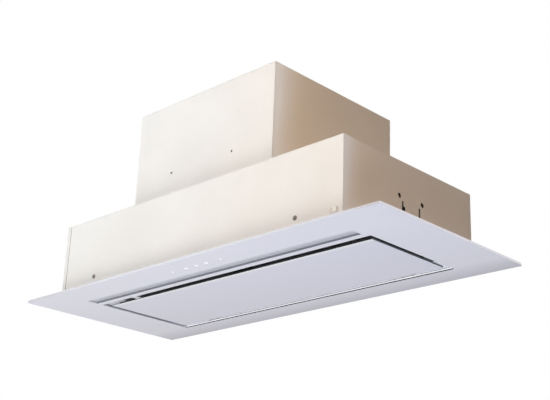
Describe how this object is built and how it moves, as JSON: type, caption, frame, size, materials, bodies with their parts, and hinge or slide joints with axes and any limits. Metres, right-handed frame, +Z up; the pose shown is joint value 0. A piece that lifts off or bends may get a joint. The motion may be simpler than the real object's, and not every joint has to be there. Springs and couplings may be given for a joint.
{
  "type": "built-in range hood",
  "caption": "Built-in canopy range hood: white glass fascia with a hinged perimeter-suction panel and light strip, a low wide casing, and a motor tower with a round duct outlet.",
  "frame": {"origin": "middle of the underside of the glass fascia, at the centre of the overall box's bottom face", "axes": "+Z up towards the duct, +X to the right seen from the front, front with the touch keys at -Y"},
  "size_m": [0.9, 0.382, 0.392],
  "materials": {
    "white_glass": "white back-painted tempered glass",
    "panel_glass": "white back-painted tempered glass",
    "casing_steel": "satin cream enamel on sheet steel",
    "zinc_steel": "zinc-coated sheet steel",
    "black_steel": "satin black enamel",
    "collar_white": "satin white enamel",
    "diffuser": "opal acrylic",
    "bare_aluminium": "brushed",
    "mesh_aluminium": "expanded mesh",
    "key_print": "white print",
    "board_green": "circuit board",
    "board_white": "white solder mask",
    "chip_yellow": "phosphor",
    "screw_zinc": "zinc plated",
    "screw_dark": "bronze-black oxide",
    "clip_cream": "moulded",
    "black_plastic": "moulded",
    "grey_plastic": "moulded",
    "motor_steel": "satin",
    "shaft_steel": "ground",
    "black_rubber": "matte",
    "capacitor_can": "drawn can",
    "latch_red": "moulded",
    "cover_white": "moulded"
  },
  "bodies": {
    "hood": {"fascia_glass": "white_glass", "fascia_frame": "zinc_steel", "opening_collar": "collar_white", "touch_symbols": "key_print", "touch_board": "board_green", "light_diffuser": "diffuser", "light_channel": "bare_aluminium", "light_board": "board_white", "light_chips": "chip_yellow", "casing_front_right": "casing_steel", "casing_left": "casing_steel", "casing_rear": "casing_steel", "casing_top": "casing_steel", "casing_screws": "screw_dark", "corner_clip": "clip_cream", "nut_plate_left": "black_steel", "nut_plate_right": "black_steel", "tower_front_sides": "casing_steel", "tower_rear": "casing_steel", "tower_top": "casing_steel", "tower_foot_frame": "zinc_steel", "outlet_spigot": "black_plastic", "flap_pin": "shaft_steel", "scroll_left": "black_plastic", "scroll_right": "black_plastic", "motor": "motor_steel", "motor_bracket": "zinc_steel", "motor_mounts": "black_rubber", "bracket_screws": "screw_zinc", "capacitor": "capacitor_can", "capacitor_clip": "black_plastic", "filter_support": "black_steel", "filter_frame_left": "black_steel", "filter_frame_right": "black_steel", "filter_mesh_left": "mesh_aluminium", "filter_mesh_right": "mesh_aluminium", "latch_guide_left": "black_plastic", "latch_guide_right": "black_plastic", "hinge_brackets": "zinc_steel", "hinge_pins": "shaft_steel", "panel_catch": "collar_white", "control_box": "cover_white", "control_lid": "cover_white", "control_board": "board_green", "terminal_block": "cover_white", "light_driver": "cover_white", "cable_inlet": "black_plastic"},
    "panel": {"panel_glass": "panel_glass", "panel_tray": "black_steel", "panel_hinge_arms": "bare_aluminium"},
    "fan": {"fan_wheel": "grey_plastic", "fan_disc": "grey_plastic", "motor_shaft": "shaft_steel"},
    "flap_front": {"flap_front": "black_plastic"},
    "flap_rear": {"flap_rear": "black_plastic"},
    "latch_left": {"filter_latch_left": "latch_red"},
    "latch_right": {"filter_latch_right": "latch_red"}
  },
  "joints": [
    {"name": "panel_hinge", "type": "hinge", "parent": "hood", "child": "panel", "pos_m": [0.005, 0.127, 0.0066], "axis": [1, 0, 0], "range_deg": [0, 85]},
    {"name": "fan_spin", "type": "hinge", "parent": "hood", "child": "fan", "pos_m": [0, -0.03, 0.222], "axis": [1, 0, 0], "continuous": true},
    {"name": "flap_front_hinge", "type": "hinge", "parent": "hood", "child": "flap_front", "pos_m": [0, 0.04287, 0.356], "axis": [-1, 0, 0], "range_deg": [0, 75]},
    {"name": "flap_rear_hinge", "type": "hinge", "parent": "hood", "child": "flap_rear", "pos_m": [0, 0.04287, 0.356], "axis": [1, 0, 0], "range_deg": [0, 75]},
    {"name": "latch_left_slide", "type": "slide", "parent": "hood", "child": "latch_left", "axis": [0, 1, 0], "range_m": [0, 0.006], "stiffness_N_per_m": 150, "springref_m": -0.004},
    {"name": "latch_right_slide", "type": "slide", "parent": "hood", "child": "latch_right", "axis": [0, 1, 0], "range_m": [0, 0.006], "stiffness_N_per_m": 150, "springref_m": -0.004}
  ]
}
